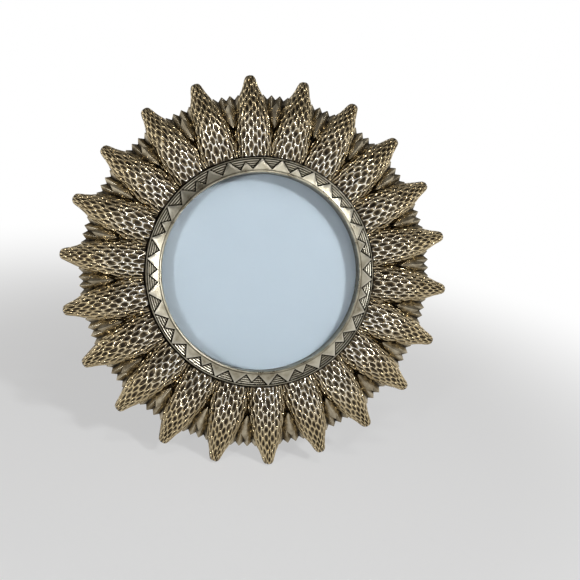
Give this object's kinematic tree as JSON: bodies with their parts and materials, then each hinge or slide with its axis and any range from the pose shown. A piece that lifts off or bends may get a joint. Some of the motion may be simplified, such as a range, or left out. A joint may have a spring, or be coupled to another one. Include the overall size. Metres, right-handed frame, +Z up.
{
  "type": "photo frame",
  "caption": "Round standing photo frame: pitted petals and leaves radiate round a raised ring with a zigzag border, held at a lean by a hinged easel leg.",
  "frame": {"origin": "on the table, under the middle of the standing frame's bounding box", "axes": "+Z up, +X to the viewer's right, the picture faces -Y and leans back, the leg is towards +Y"},
  "size_m": [0.193, 0.0862, 0.1829],
  "materials": {
    "antique_brass": "antique",
    "antique_brass_ring": "antique",
    "glass": "polished",
    "print_paper": "satin",
    "card": "matte",
    "hardboard": "matte",
    "velour": "napped",
    "steel": "zinc plated",
    "screw_steel": "zinc plated"
  },
  "bodies": {
    "frame_body": {"petal_casting": "antique_brass", "bezel_ring": "antique_brass_ring", "glass_pane": "glass", "photo_print": "print_paper", "filler_card": "card", "backing_board": "hardboard", "board_velour": "velour", "button_washers": "steel", "button_screws": "screw_steel", "board_hinge_leaf": "steel", "hinge_pin": "screw_steel", "board_rivets": "screw_steel"},
    "leg": {"easel_leg": "hardboard", "leg_velour": "velour", "leg_hinge_leaf": "steel", "leg_rivets": "screw_steel"},
    "button_upper_right": {"turn_button_upper_right": "steel"},
    "button_lower_right": {"turn_button_lower_right": "steel"},
    "button_lower_left": {"turn_button_lower_left": "steel"},
    "button_upper_left": {"turn_button_upper_left": "steel"}
  },
  "joints": [
    {"name": "leg_fold", "type": "hinge", "parent": "frame_body", "child": "leg", "pos_m": [0, 0.00348, 0.12648], "axis": [1, 0, 0], "range_deg": [-34, 0]},
    {"name": "button_turn_upper_right", "type": "hinge", "parent": "frame_body", "child": "button_upper_right", "pos_m": [0.04355, 0.00567, 0.13863], "axis": [0, 0.9563, -0.2924], "continuous": true},
    {"name": "button_turn_lower_right", "type": "hinge", "parent": "frame_body", "child": "button_lower_right", "pos_m": [0.04355, -0.02371, 0.0425], "axis": [0, 0.9563, -0.2924], "continuous": true},
    {"name": "button_turn_lower_left", "type": "hinge", "parent": "frame_body", "child": "button_lower_left", "pos_m": [-0.04355, -0.02371, 0.0425], "axis": [0, 0.9563, -0.2924], "continuous": true},
    {"name": "button_turn_upper_left", "type": "hinge", "parent": "frame_body", "child": "button_upper_left", "pos_m": [-0.04355, 0.00567, 0.13863], "axis": [0, 0.9563, -0.2924], "continuous": true}
  ]
}
